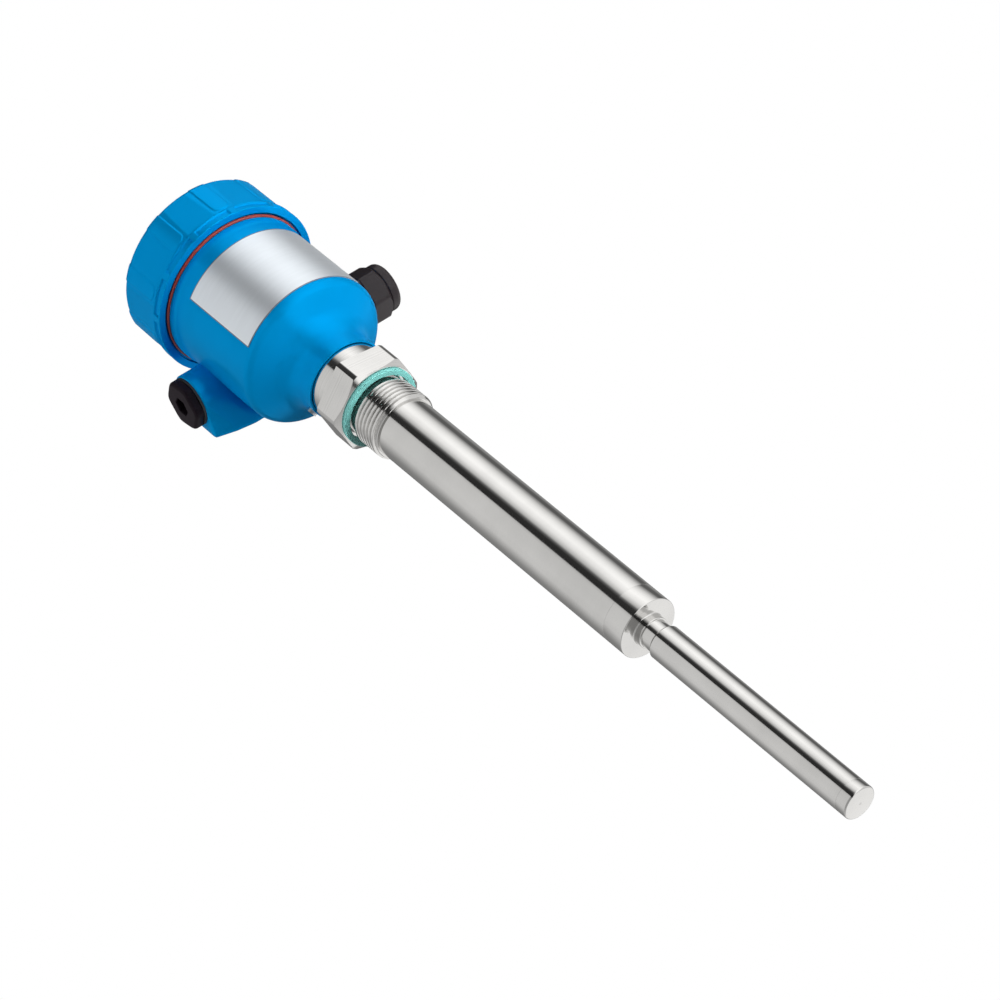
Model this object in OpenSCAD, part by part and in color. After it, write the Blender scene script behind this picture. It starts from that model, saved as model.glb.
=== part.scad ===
// Vibrating rod level switch: a cast head with a screw cap swivels on a screwed
// process fitting, which carries an extension tube and the vibrating rod.
// Millimetres. +Z runs up the probe axis, the cable gland points along +X, and -Y
// points to the type plate. The cable entries lie in a bar behind the head's axis.
// The origin lies on the axis at the process seal's lower face.

/* [Process fitting] */
// Outer diameter of the process thread
thread_d = 33.25; // [31:0.05:36]
// Length from the seal's lower face to the end of the thread
thread_len = 17.4; // [12:0.1:30]
// Length of the relief groove between the seal and the thread
relief_len = 2.6; // [1.5:0.1:4]
// Depth of the relief groove below the thread's crests
relief_depth = 1.4; // [0.8:0.1:1.6]
// Chamfer at the end of the thread
thread_chamfer = 1.4; // [0.5:0.1:1.5]
// Thickness of the process seal ring
seal_t = 2; // [1:0.1:4]
// Radial width of the process seal ring
seal_band = 2.8; // [2:0.1:3.2]
// Height of the turned face above the seal
face_h = 1.2; // [0.6:0.1:3]
// Width of the hexagon across its flats
hex_af = 41; // [41:0.5:50]
// Height of the hexagon
hex_h = 13.8; // [8:0.1:25]
// How far the hexagon's corners are turned down
corner_trim = 0.6; // [0.2:0.1:1]
// Turn of the hexagon about the axis, in degrees
hex_turn = 6.7; // [0:0.1:60]
// Diameter of the round collar above the hexagon
collar_d = 37.8; // [36.5:0.1:38.2]
// Length of collar that shows below the head
collar_show = 8.4; // [2:0.1:15]
// Diameter of the spigot that the head turns on
spigot_d = 33; // [32:0.1:33.8]
// Diameter of the bore for the leads
lead_bore_d = 22; // [21:0.1:24]

/* [Probe] */
// Length from the seal's lower face to the rod's tip
probe_len = 312.5; // [260:0.5:1000]
// Length from the tube's end face to the rod's tip
rod_len = 130; // [80:0.5:180]
// Outer diameter of the extension tube
tube_d = 29.2; // [28:0.1:29.8]
// Wall of the extension tube
tube_wall = 2; // [1:0.1:2.2]
// Length of the end piece welded to the tube
base_len = 11.4; // [8:0.1:20]
// Wall of the end piece
base_wall = 2.6; // [1.5:0.1:2.8]
// Thickness of the membrane in the end piece
membrane_t = 2.8; // [1.5:0.1:5]
// Outer diameter of the vibrating rod
rod_d = 16; // [14:0.1:20]
// Wall of the vibrating rod
rod_wall = 1.5; // [1:0.1:1.8]
// Diameter of the waist at the rod's root
rod_neck_d = 13.6; // [11:0.1:13.9]
// Length of the rod's root, from the tube's end face
rod_root_len = 10.6; // [9:0.1:16]
// Length of the welded tip
tip_len = 6; // [4:0.1:10]
// Edge rounding of the tip
tip_round = 1; // [0.3:0.1:2]
// Diameter of the inner rod
inner_rod_d = 8; // [7:0.1:9]

/* [Drive] */
// Diameter of the piezo discs
stack_d = 18; // [14:0.1:18.4]
// Thickness of one piezo disc
piezo_t = 2; // [1:0.1:3]
// Number of piezo discs
piezo_count = 4; // [2:2:6]
// Thickness of one electrode
electrode_t = 0.3; // [0.2:0.05:0.5]
// Thickness of an insulator ring
insulator_t = 1.2; // [0.6:0.1:2]
// Diameter of the tension bolt
bolt_d = 5; // [4:0.1:5.4]

/* [Head] */
// Diameter of the head's body
body_d = 73.8; // [72:0.1:80]
// Wall of the head's body
wall = 3.4; // [2.8:0.1:3.8]
// Diameter of the neck
neck_d = 40; // [39.6:0.1:44]
// Height of the body's lower edge above the neck's rim
edge_h = 27.6; // [26:0.1:32]
// Rounding of the body's lower edge
edge_round = 5.5; // [2:0.1:7]
// Slope of the shoulder between neck and body, in degrees
shoulder_slope = 30; // [22:1:34]
// Fillet between the neck and the shoulder
neck_fillet = 14; // [6:0.5:15]
// Height of the inner floor above the neck's rim
floor_h = 20.6; // [19:0.1:22]
// Height of the cap's seat above the neck's rim
seat_h = 82.8; // [78:0.1:95]
// Height of the mouth that the cap screws on
mouth_h = 12.8; // [8:0.1:18]
// Height of the cable entries above the neck's rim
entry_h = 61.3; // [59:0.1:63]
// Direction of the lock screw, in degrees from the gland
lock_angle = 150; // [100:1:170]
// Height of the lock screw above the neck's rim
lock_h = 4; // [4:0.1:5]

/* [Cap] */
// Diameter of the cap
cap_d = 85.6; // [82:0.1:92]
// Height of the cap
cap_h = 29; // [24:0.1:40]
// Thickness of the cap's top
cap_top_t = 3.4; // [2.4:0.1:5]
// Section of the cap's sealing ring
ring_cs = 2.6; // [2:0.1:3]
// Number of flats around the cap
flat_count = 10; // [8:1:12]
// Depth of the flats at their middle
flat_depth = 1; // [0.4:0.1:1.6]
// Number of ribs around the rim
rib_count = 12; // [6:1:18]

/* [Type plate] */
// Width of the type plate along the curve
plate_w = 71.6; // [40:0.1:80]
// Height of the type plate
plate_h = 44.6; // [20:0.1:46]
// Thickness of the type plate
plate_t = 0.3; // [0.2:0.05:0.6]

/* [Cable entries] */
// Outer diameter of the entry threads
entry_d = 20; // [18:0.1:20.5]
// Length of the entry bar beyond the body, on each side
bar_stand = 8.8; // [7:0.1:16]
// Diameter of the entry faces
entry_face_d = 25.4; // [25:0.1:27]
// Width of the gland across its flats
gland_af = 24; // [24:0.1:26]
// Length of the gland's nut
nut_len = 15.8; // [15:0.1:20]
// Diameter of the hole for the cable
cable_d = 10; // [6:0.1:11]
// Diameter of the blind plug's head
plug_d = 24; // [23.5:0.1:26]
// Thickness of the blind plug's head
plug_h = 4.6; // [4:0.1:9]

/* [Electronics] */
// Gap between the electronics module and the posts beside it
module_gap = 1.5; // [1:0.1:3]
// Height of the electronics module
module_h = 36; // [32:0.1:42]
// Number of terminals
terminal_count = 6; // [3:1:6]
// Travel of the mode slider
mode_travel = 2; // [1:0.1:3]

/* [Hidden] */
$fn = 64;

// Clearances: fixed fits, turning fits, screwed fits and loose seats
fit_gap = 0.05;
run_gap = 0.08;
screw_gap = 0.3;
seat_gap = 0.2;

// Process fitting, from the seal upwards
thread_r = thread_d / 2;
seal_in_r = thread_r + 0.2;
seal_out_r = seal_in_r + seal_band;
face_r = seal_out_r + 0.6;
hex_low = seal_t + face_h;
hex_top = hex_low + hex_h;
turned_r = hex_af / 2 / cos(30) - corner_trim;
collar_r = collar_d / 2;
spigot_r = spigot_d / 2;
lead_bore_r = lead_bore_d / 2;
rim_z = hex_top + collar_show;
collar_in = 0.8;
collar_top = rim_z + collar_in;
floor_z = rim_z + floor_h;
clip_t = 1.2;
clip_z = floor_z + seat_gap;
spigot_top = clip_z + clip_t + 1.8;

// Lock screw and its groove, which leaves a web as the end stop of the swivel
lock_z = rim_z + lock_h;
lock_r = 2.5;
lock_tip_r = 1.4;
lock_groove_h = 2 * lock_tip_r + 0.6;
lock_groove_depth = 1.5;
stop_web = 12;

// Swivel seals
swivel_cs = 2;
swivel_drop = 4;
swivel_pitch = 3.5;
swivel_seal_z = [floor_z - swivel_drop - swivel_pitch, floor_z - swivel_drop];

// Probe, from the tip upwards
tip_z = -probe_len;
tube_end = tip_z + rod_len;
weld_z = tube_end + base_len;
tube_r = tube_d / 2;
tube_in_r = tube_r - tube_wall;
base_in_r = tube_r - base_wall;
membrane_z = tube_end + membrane_t;
rod_r = rod_d / 2;
rod_in_r = rod_r - rod_wall;
rod_z = tube_end - rod_root_len;
joint_len = 4;
tip_joint = tip_z + tip_len;
inner_rod_r = inner_rod_d / 2;
inner_root_r = inner_rod_r - 1;
inner_root_len = 5;

// Drive stack, from the membrane upwards
stack_r = stack_d / 2;
bolt_r = bolt_d / 2;
stack_bore_r = bolt_r + 0.5;
bolt_depth = 5;
electrode_pitch = piezo_t + electrode_t;
electrode_z = membrane_z + insulator_t;
stack_top = electrode_z + piezo_count * electrode_pitch + electrode_t;
washer_z = stack_top + insulator_t;
washer_t = 3;
nut_z = washer_z + washer_t;
nut_h = 4;
lead_r = 0.5;
lead_x = stack_r + 1;
feed_z = floor_z - 6;
feed_top = spigot_top - 1.2;
plug_pin_r = 5;
plug_pin_h = 6;

// Head
body_r = body_d / 2;
neck_r = neck_d / 2;
cavity_r = body_r - wall;
edge_z = rim_z + edge_h;
tangent_r = body_r - edge_round * (1 - sin(shoulder_slope));
tangent_z = edge_z - edge_round * cos(shoulder_slope);
corner_z = tangent_z - (tangent_r - neck_r) * tan(shoulder_slope);
fillet_len = neck_fillet / tan((90 + shoulder_slope) / 2);
cavity_lift = wall / cos(shoulder_slope);
cavity_floor_r = tangent_r - (tangent_z + cavity_lift - floor_z) / tan(shoulder_slope);
cavity_edge_z = tangent_z + cavity_lift + (cavity_r - tangent_r) * tan(shoulder_slope);
seat_z = rim_z + seat_h;
ridge_r = body_r + 0.7;
ridge_h = 5.2;
mouth_r = body_r - 0.3;
mouth_z = seat_z + mouth_h;
post_r = 4.5;
post_place = cavity_r - 3.5;

// Cap and its sealing ring
ring_r = mouth_r + fit_gap + ring_cs / 2;
ring_z = seat_z + fit_gap + ring_cs / 2;
cap_r = cap_d / 2;
cap_z = seat_z + 0.8;
cap_top = cap_z + cap_h;
cap_draft = 0.3;
cap_round = 2.6;
cap_bore_r = mouth_r + screw_gap;
flat_first = -66.3;
flat_r = cap_r - cap_draft / 2 - flat_depth;
flat_low = cap_z + 5.2;
rib_first = -111;
rib_angle = 5;
rib_depth = 0.9;
slot_low = cap_z + 0.9;
slot_h = 3.4;

// Cable entries
entry_r = entry_d / 2;
entry_stub_r = entry_r - run_gap;
entry_face_r = entry_face_d / 2;
entry_z = rim_z + entry_h;
bar_back = body_r + 0.6;
entry_y = bar_back - entry_face_r;
entry_in = cavity_r / 2;
bar_reach = body_r + bar_stand;
slice_t = 0.01;
bar_foot_r = 1.6;
bar_edge = 0.7;
washer_ring_t = 1;
gland_hex_x = bar_reach + washer_ring_t;
gland_hex_t = 4;
nut_x = gland_hex_x + gland_hex_t + seat_gap;
nut_end = nut_x + nut_len;
nut_dome = 5.6;
sleeve_r = entry_r + 0.1;
sleeve_end = nut_end - 5.6;
cable_r = cable_d / 2;
insert_r = cable_r + 2.2;
insert_x = gland_hex_x - 2;
insert_end = nut_end - 2.6;
stub_len = 9;
gland_turn = 35;
plug_x = bar_reach + washer_ring_t;
plug_r = plug_d / 2;
socket_af = 8;

// Electronics, from the module's underside upwards
module_r = post_place - post_r - module_gap;
module_lift = 10;
module_z = floor_z + module_lift;
module_top = module_z + module_h;
module_wall = 1.6;
module_floor = 2;
module_in_r = module_r - module_wall;
ear_t = 3;
ear_r = 3;
post_top = module_top - ear_t;
socket_r = plug_pin_r + screw_gap;
screw_r = 1.3;
module_screw_len = 11;
ground_screw_len = 8;
relay_w = 20;
relay_d = 15;
relay_h = 12;
board_t = 1.6;
board_z = module_top - 8;
ledge_h = 2;
cover_t = 2.5;
cover_top = module_top + cover_t;
terminal_pitch = 6;
terminal_d = 13;
terminal_h = 11;
terminal_y = -6 - terminal_d;
terminal_w = terminal_count * terminal_pitch + 2;
terminal_screw_r = 2;
mode_place = [-10, 6];
mode_size = [11, 6, 4];
slider_size = [3, 2.4, 4];
trim_place = [9, 7];
trim_w = 9;
trim_h = 3.4;
knob_r = 3.2;
lamp_place = [0, 17];
lamp_r = 1.6;
ground_angle = -45;
ground_drop = 12;
ground_top = module_top - ground_drop;
earth_rise = 7.5;
earth_drop = 26.2;
earth_z = min(edge_z + earth_rise, entry_z - earth_drop);
earth_angle = 48;
earth_face = body_r + 2.4;
earth_r = 5.5;
earth_bolt_r = 2.5;

// A ring of radii inner to outer between two heights
module ring(inner, outer, low, high) {
    translate([0, 0, low])
        difference() {
            cylinder(r = outer, h = high - low);
            translate([0, 0, -1]) cylinder(r = inner, h = high - low + 2);
        }
}

// A straight cylinder between two heights
module rod(r, low, high) {
    translate([0, 0, low]) cylinder(r = r, h = high - low);
}

// Children built along +Z are laid along +X on the axis of the cable entries
module along_entry() {
    translate([0, entry_y, entry_z]) rotate([0, 90, 0]) children();
}

// Children built along +Z are laid along -X on the axis of the cable entries
module along_plug_entry() {
    translate([0, entry_y, entry_z]) rotate([0, -90, 0]) children();
}

// Children built along +Z point outwards at the outer earth terminal
module along_earth() {
    rotate(earth_angle) translate([0, 0, earth_z]) rotate([0, 90, 0]) children();
}

// A hexagonal prism by its width across flats
module hexagon(af, low, high) {
    translate([0, 0, low]) cylinder(r = af / 2 / cos(30), h = high - low, $fn = 6);
}

// Stainless steel process fitting: thread, hexagon, collar and swivel spigot
module process_fitting() {
    color("silver")
        difference() {
            union() {
                rod(thread_r, thread_chamfer - thread_len, -relief_len);
                translate([0, 0, -thread_len])
                    cylinder(r1 = thread_r - thread_chamfer, r2 = thread_r, h = thread_chamfer);
                rod(thread_r - relief_depth, -relief_len - 1, hex_top);
                rod(lead_bore_r + 2, -thread_len, spigot_top);
                rod(face_r, seal_t, hex_low);
                intersection() {
                    rotate(hex_turn) hexagon(hex_af, hex_low, hex_top);
                    union() {
                        translate([0, 0, hex_low])
                            cylinder(r1 = face_r, r2 = turned_r, h = turned_r - face_r);
                        rod(turned_r, hex_low + turned_r - face_r, hex_top);
                    }
                }
                rod(collar_r, hex_top, collar_top);
                rod(spigot_r, hex_top, spigot_top);
            }
            rod(lead_bore_r, -thread_len - 1, spigot_top + 1);
            lock_groove();
            for (z = swivel_seal_z)
                ring(spigot_r - swivel_cs, spigot_r + 1, z - swivel_cs * 0.6, z + swivel_cs * 0.6);
            ring(spigot_r - clip_t, spigot_r + 1, clip_z - fit_gap, clip_z + clip_t + fit_gap);
        }
}

// The groove that the lock screw's tip runs in, with the web left standing
module lock_groove() {
    rotate(lock_angle + 180 + stop_web / 2)
        rotate_extrude(angle = 360 - stop_web)
            translate([spigot_r - lock_groove_depth, lock_z - lock_groove_h / 2])
                square([lock_groove_depth + 1, lock_groove_h]);
}

// Teal fibre ring between the fitting and the vessel's boss
module process_seal() {
    color("mediumturquoise") ring(seal_in_r, seal_out_r, 0, seal_t);
}

// Extension tube, welded to the fitting and to the rod's base
module extension_tube() {
    color("silver") ring(tube_in_r, tube_r, weld_z, -thread_len);
}

// Turned end piece: cup with the membrane, the rod's root and its waist
module rod_base() {
    collar_len = 3.7;
    flare = rod_r - rod_neck_d / 2;
    color("silver")
        difference() {
            union() {
                rod(tube_r, tube_end, weld_z);
                rod(rod_r - 0.4, tube_end - collar_len, tube_end);
                rod(rod_neck_d / 2, rod_z, tube_end - collar_len);
                translate([0, 0, rod_z]) cylinder(r1 = rod_r, r2 = rod_neck_d / 2, h = flare);
                rod(rod_in_r - fit_gap, rod_z - joint_len, rod_z);
            }
            rod(base_in_r, membrane_z, weld_z + 1);
            rod(bolt_r + fit_gap, membrane_z - bolt_depth, membrane_z + 1);
            rod(inner_root_r + fit_gap, rod_z - joint_len - 1, rod_z - joint_len + inner_root_len);
        }
}

// Outer tube of the vibrating rod
module vibrating_rod() {
    color("silver") ring(rod_in_r, rod_r, tip_joint, rod_z);
}

// Welded tip with a rounded edge and a centre mark
module rod_tip() {
    mark_r = 0.7;
    color("silver")
        difference() {
            union() {
                rotate_extrude()
                    union() {
                        translate([0, tip_z + tip_round]) square([rod_r, tip_len - tip_round]);
                        translate([0, tip_z]) square([rod_r - tip_round, tip_len]);
                        intersection() {
                            translate([rod_r - tip_round, tip_z + tip_round]) circle(tip_round);
                            translate([0, tip_z]) square([rod_r, tip_len]);
                        }
                    }
                rod(rod_in_r - fit_gap, tip_joint, tip_joint + joint_len);
            }
            translate([0, 0, tip_z - fit_gap]) cylinder(r1 = mark_r, r2 = 0, h = mark_r);
        }
}

// Inner rod, which swings against the outer one
module inner_rod() {
    color("gray")
        union() {
            rod(inner_rod_r, tip_joint + joint_len + 4, rod_z - joint_len);
            rod(inner_root_r, rod_z - joint_len, rod_z - joint_len + inner_root_len - seat_gap);
        }
}

// Bolt that holds the drive stack against the membrane
module tension_bolt() {
    color("dimgray") rod(bolt_r, membrane_z - bolt_depth + seat_gap, nut_z + nut_h + 1.5);
}

// Ceramic rings below and above the piezo discs
module insulator_rings() {
    color("ivory")
        for (z = [membrane_z, stack_top])
            ring(stack_bore_r, stack_r, z, z + insulator_t);
}

// Piezo discs between the electrodes
module piezo_discs() {
    color("tan")
        for (i = [0 : piezo_count - 1])
            let (z = electrode_z + i * electrode_pitch + electrode_t)
                ring(stack_bore_r, stack_r, z, z + piezo_t);
}

// Contact rings with soldering tabs to alternate sides
module electrodes() {
    tab_w = 3;
    color("goldenrod")
        for (i = [0 : piezo_count])
            let (z = electrode_z + i * electrode_pitch)
                difference() {
                    union() {
                        rod(stack_r, z, z + electrode_t);
                        rotate(180 * (i % 2))
                            translate([0, -tab_w / 2, z])
                                cube([lead_x + lead_r, tab_w, electrode_t]);
                    }
                    rod(stack_bore_r, z - 1, z + electrode_t + 1);
                }
}

// Thick steel washer on top of the stack
module pressure_washer() {
    color("silver") ring(bolt_r + fit_gap, stack_r - 1, washer_z, nut_z);
}

// Hexagon nut that tightens the stack
module tension_nut() {
    color("silver")
        difference() {
            hexagon(2.6 * bolt_r + 1.5, nut_z, nut_z + nut_h);
            rod(bolt_r + fit_gap, nut_z - 1, nut_z + nut_h + 1);
        }
}

// The two leads, from the uppermost tab on each side to the feed-through
module drive_leads() {
    color("firebrick")
        for (i = [piezo_count - 1, piezo_count])
            rotate(180 * (i % 2))
                translate([lead_x, 0, 0])
                    rod(lead_r, electrode_z + i * electrode_pitch + electrode_t, feed_z);
}

// Potted feed-through that closes the fitting's bore
module feed_through() {
    color("darkslategray") rod(lead_bore_r - fit_gap, feed_z, feed_top);
}

// Plug of the probe's leads, on the axis so that the head can turn around it
module sensor_plug() {
    color("black") rod(plug_pin_r, feed_top, feed_top + plug_pin_h);
}

// Two sealing rings between the spigot and the neck
module swivel_seals() {
    color("black")
        for (z = swivel_seal_z)
            translate([0, 0, z])
                rotate_extrude()
                    translate([spigot_r - swivel_cs / 2 - fit_gap, 0]) circle(swivel_cs / 2 - fit_gap);
}

// Clip that keeps the head on the spigot
module retaining_ring() {
    gap = 9;
    color("dimgray")
        rotate(gap / 2)
            rotate_extrude(angle = 360 - gap)
                translate([spigot_r - clip_t + fit_gap, clip_z]) square([clip_t + 2, clip_t]);
}

// Outline of the head's casting on one side of the axis
module head_outline() {
    difference() {
        polygon([
            [0, rim_z],
            [neck_r, rim_z],
            [neck_r, corner_z - fillet_len],
            [neck_r + fillet_len * cos(shoulder_slope), corner_z + fillet_len * sin(shoulder_slope)],
            [tangent_r, tangent_z],
            [body_r, edge_z],
            [body_r, seat_z - ridge_h],
            [ridge_r, seat_z - ridge_h + 1.2],
            [ridge_r, seat_z],
            [0, seat_z]
        ]);
        translate([neck_r + neck_fillet, corner_z - fillet_len]) circle(neck_fillet);
    }
    translate([body_r - edge_round, edge_z]) circle(edge_round);
}

// Outline of the wiring space on one side of the axis
module cavity_outline() {
    polygon([
        [0, floor_z],
        [cavity_floor_r, floor_z],
        [cavity_r, cavity_edge_z],
        [cavity_r, mouth_z + 1],
        [0, mouth_z + 1]
    ]);
}

// One slice of the entry bar: round, with a foot that drops at the back
module bar_slice(x, grow, drop) {
    translate([x, entry_y, entry_z])
        rotate([90, 0, 90])
            linear_extrude(slice_t) {
                circle(entry_face_r + grow, $fn = 72);
                translate([entry_face_r - bar_foot_r, bar_foot_r - drop]) circle(bar_foot_r + grow, $fn = 24);
            }
}

// Bar across the back of the body, which carries a cable entry at each end
module entry_bar() {
    half = [
        [bar_reach, -bar_edge, entry_face_r + 3.5],
        [bar_reach - bar_edge, 0, entry_face_r + 3.8],
        [bar_reach * 0.78, 0, entry_face_r + 6.7],
        [bar_reach * 0.58, 0, entry_face_r + 8.3]
    ];
    slices = [for (h = half) h, for (i = [len(half) - 1 : -1 : 0]) [-half[i][0], half[i][1], half[i][2]]];
    for (i = [0 : len(slices) - 2])
        hull()
            for (s = [slices[i], slices[i + 1]])
                bar_slice(s[0], s[1], s[2]);
}

// Posts that carry the module's ears and the inner earth screw
module posts() {
    for (a = [90, 270])
        rotate(a) translate([post_place, 0, 0]) rod(post_r, rim_z, post_top);
    rotate(ground_angle) translate([post_place, 0, 0]) rod(post_r, rim_z, ground_top);
}

// Cast housing: hollow body with neck and the bar of the two cable entries
module housing() {
    color("dodgerblue")
        difference() {
            union() {
                rotate_extrude() head_outline();
                entry_bar();
                along_earth() rod(earth_r, cavity_r, earth_face);
            }
            difference() {
                rotate_extrude() cavity_outline();
                posts();
            }
            rod(spigot_r + run_gap, rim_z - 1, floor_z + 1);
            rod(collar_r + screw_gap, rim_z - 1, collar_top + seat_gap);
            rotate(lock_angle) translate([0, 0, lock_z]) rotate([0, 90, 0])
                rod(lock_r + run_gap, spigot_r - 1, neck_r + 5);
            along_entry() rod(entry_r, entry_in, bar_reach + 1);
            along_plug_entry() rod(entry_r, entry_in, bar_reach + 1);
            for (a = [90, 270])
                rotate(a) translate([post_place, 0, 0]) rod(screw_r + fit_gap, module_top - module_screw_len - 1, post_top + 1);
            rotate(ground_angle) translate([post_place, 0, 0])
                rod(screw_r + fit_gap, ground_top - ground_screw_len, ground_top + 1);
            along_earth() rod(earth_bolt_r + fit_gap, cavity_r - 2, earth_face + 1);
        }
}

// Mouth of the housing that the cap screws on, seated on the body's rim
module housing_mouth() {
    color("dodgerblue") ring(cavity_r, mouth_r, seat_z, mouth_z);
}

// Foil plate wrapped around the body, centred on -Y
module type_plate() {
    plate_angle = plate_w / body_r * 180 / PI;
    plate_low = (edge_z + seat_z - ridge_h - plate_h) / 2 - 2.6;
    color("gainsboro")
        rotate(-90 - plate_angle / 2)
            rotate_extrude(angle = plate_angle)
                translate([body_r + fit_gap, plate_low]) square([plate_t, plate_h]);
}

// Set screw that locks the swivel
module lock_screw() {
    key_af = 2.5;
    color("gray")
        rotate(lock_angle) translate([0, 0, lock_z]) rotate([0, 90, 0])
            difference() {
                union() {
                    rod(lock_r, spigot_r + run_gap, neck_r + 1.4);
                    rod(lock_tip_r, spigot_r - lock_groove_depth + seat_gap, spigot_r + run_gap);
                }
                hexagon(key_af, neck_r - 1, neck_r + 3);
            }
}

// Screw cap with grip flats and a ribbed rim
module cap() {
    ceiling = cap_top - cap_top_t;
    color("dodgerblue")
        difference() {
            rotate_extrude()
                union() {
                    polygon([
                        [0, cap_z],
                        [cap_r, cap_z],
                        [cap_r - cap_draft, cap_top - cap_round],
                        [0, cap_top - cap_round]
                    ]);
                    square_to(cap_r - cap_draft - cap_round, cap_top - cap_round, cap_top);
                    translate([cap_r - cap_draft - cap_round, cap_top - cap_round]) circle(cap_round);
                }
            rod(cap_bore_r, cap_z - 1, ceiling);
            rod(ring_r + ring_cs / 2 + seat_gap, cap_z - 1, ring_z + ring_cs / 2 + fit_gap);
            for (i = [0 : flat_count - 1])
                rotate(flat_first + i * 360 / flat_count)
                    translate([flat_r, -cap_r / 2, flat_low])
                        cube([10, cap_r, cap_h]);
            for (i = [0 : rib_count - 1])
                rotate(rib_first + rib_angle / 2 + i * 360 / rib_count)
                    rotate_extrude(angle = 360 / rib_count - rib_angle)
                        translate([cap_r - rib_depth, slot_low]) square([5, slot_h]);
        }
}

// A square from the axis to a radius between two heights
module square_to(r, low, high) {
    translate([0, low]) square([r, high - low]);
}

// Red sealing ring under the cap's rim
module cap_seal() {
    color("firebrick")
        translate([0, 0, ring_z])
            rotate_extrude() translate([ring_r, 0]) circle(ring_cs / 2);
}

// Flat ring under the gland
module gland_seal() {
    color("dimgray") along_entry() ring(entry_r, entry_face_r - 0.7, bar_reach + slice_t, gland_hex_x);
}

// Gland body: stub in the entry, hexagon flange and sleeve for the nut
module gland_body() {
    color("black")
        along_entry()
            difference() {
                union() {
                    rod(entry_stub_r, gland_hex_x - washer_ring_t - stub_len, gland_hex_x + gland_hex_t / 2);
                    rotate(gland_turn) hexagon(gland_af, gland_hex_x, gland_hex_x + gland_hex_t);
                    rod(sleeve_r, gland_hex_x + gland_hex_t / 2, sleeve_end);
                }
                rod(insert_r + fit_gap, insert_x, sleeve_end + 1);
                rod(cable_r + 1, 0, insert_x + 1);
            }
}

// Rubber insert that grips the cable
module gland_insert() {
    color("dimgray") along_entry() ring(cable_r, insert_r, insert_x, insert_end);
}

// Gland nut: hexagon with a domed end and a mouth for the cable
module gland_nut() {
    mouth = insert_r + 0.4;
    hex_r = gland_af / 2 / cos(30);
    dome_r = gland_af / 2 - 0.1;
    dome_round = 3;
    color("black")
        along_entry()
            difference() {
                union() {
                    intersection() {
                        rotate(gland_turn) hexagon(gland_af, nut_x, nut_end - nut_dome);
                        translate([0, 0, nut_x])
                            cylinder(r1 = hex_r + nut_len - nut_dome - 1, r2 = hex_r - 1, h = nut_len - nut_dome);
                    }
                    rod(dome_r, nut_x + 1, nut_end - dome_round);
                    rod(dome_r - dome_round, nut_x + 1, nut_end);
                    translate([0, 0, nut_end - dome_round])
                        rotate_extrude()
                            translate([dome_r - dome_round, 0]) circle(dome_round);
                }
                rod(sleeve_r + screw_gap, nut_x - 1, sleeve_end + seat_gap);
                rod(mouth, nut_x, nut_end + 1);
            }
}

// Flat ring under the blind plug
module plug_seal() {
    color("black") along_plug_entry() ring(entry_r, plug_r, bar_reach, plug_x);
}

// Blind plug: stub, chamfered hexagonal head and a key socket
module blind_plug() {
    color("black")
        along_plug_entry()
            difference() {
                union() {
                    rod(entry_stub_r, plug_x - washer_ring_t - stub_len, plug_x + 0.8);
                    intersection() {
                        rotate(10) hexagon(plug_d * 0.93, plug_x, plug_x + plug_h);
                        union() {
                            rod(plug_r, plug_x, plug_x + plug_h - 2);
                            translate([0, 0, plug_x + plug_h - 2])
                                cylinder(r1 = plug_r, r2 = plug_r - 1.6, h = 2);
                        }
                    }
                }
                hexagon(socket_af, plug_x + 1, plug_x + plug_h + 1);
            }
}

// Pot of the electronics module, with two ears and the socket for the probe
module module_base() {
    color("gainsboro")
        difference() {
            union() {
                rod(module_r, module_z, module_top);
                rod(socket_r + 2.5, spigot_top + 0.8, module_z);
                for (a = [90, 270])
                    rotate(a) {
                        translate([post_place, 0, 0]) rod(ear_r, post_top, module_top);
                        translate([0, -ear_r, post_top]) cube([post_place, 2 * ear_r, ear_t]);
                    }
            }
            rod(module_in_r - 1.4, module_z + module_floor, module_top + 1);
            rod(module_in_r, board_z, module_top + 1);
            rod(socket_r, spigot_top, feed_top + plug_pin_h + screw_gap);
            for (a = [90, 270])
                rotate(a) translate([post_place, 0, 0]) rod(screw_r + fit_gap, post_top - 1, module_top + 1);
        }
}

// Cover of the module
module module_cover() {
    color("whitesmoke") rod(module_r, module_top, cover_top);
}

// The two screws through the module's ears
module module_screws() {
    head_r = 2.6;
    color("silver")
        for (a = [90, 270])
            rotate(a)
                translate([post_place, 0, 0])
                    slotted_screw(screw_r, head_r, module_screw_len, 2, module_top);
}

// A slotted screw with its head standing on a given height
module slotted_screw(shank_r, head_r, shank_len, head_h, z) {
    slot_w = head_r * 0.32;
    difference() {
        union() {
            rod(shank_r, z - shank_len, z);
            rod(head_r, z, z + head_h);
        }
        translate([-head_r - 1, -slot_w / 2, z + head_h * 0.5]) cube([2 * head_r + 2, slot_w, head_h]);
    }
}

// Circuit board on the ledge in the pot
module circuit_board() {
    color("darkgreen") rod(module_in_r - fit_gap, board_z, board_z + board_t);
}

// Output relay under the circuit board
module relay() {
    color("orange")
        translate([-relay_w / 2, -relay_d / 2, board_z - relay_h]) cube([relay_w, relay_d, relay_h]);
}

// Places of the terminals along the block
function terminal_x(i) = (i - (terminal_count - 1) / 2) * terminal_pitch;

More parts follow.
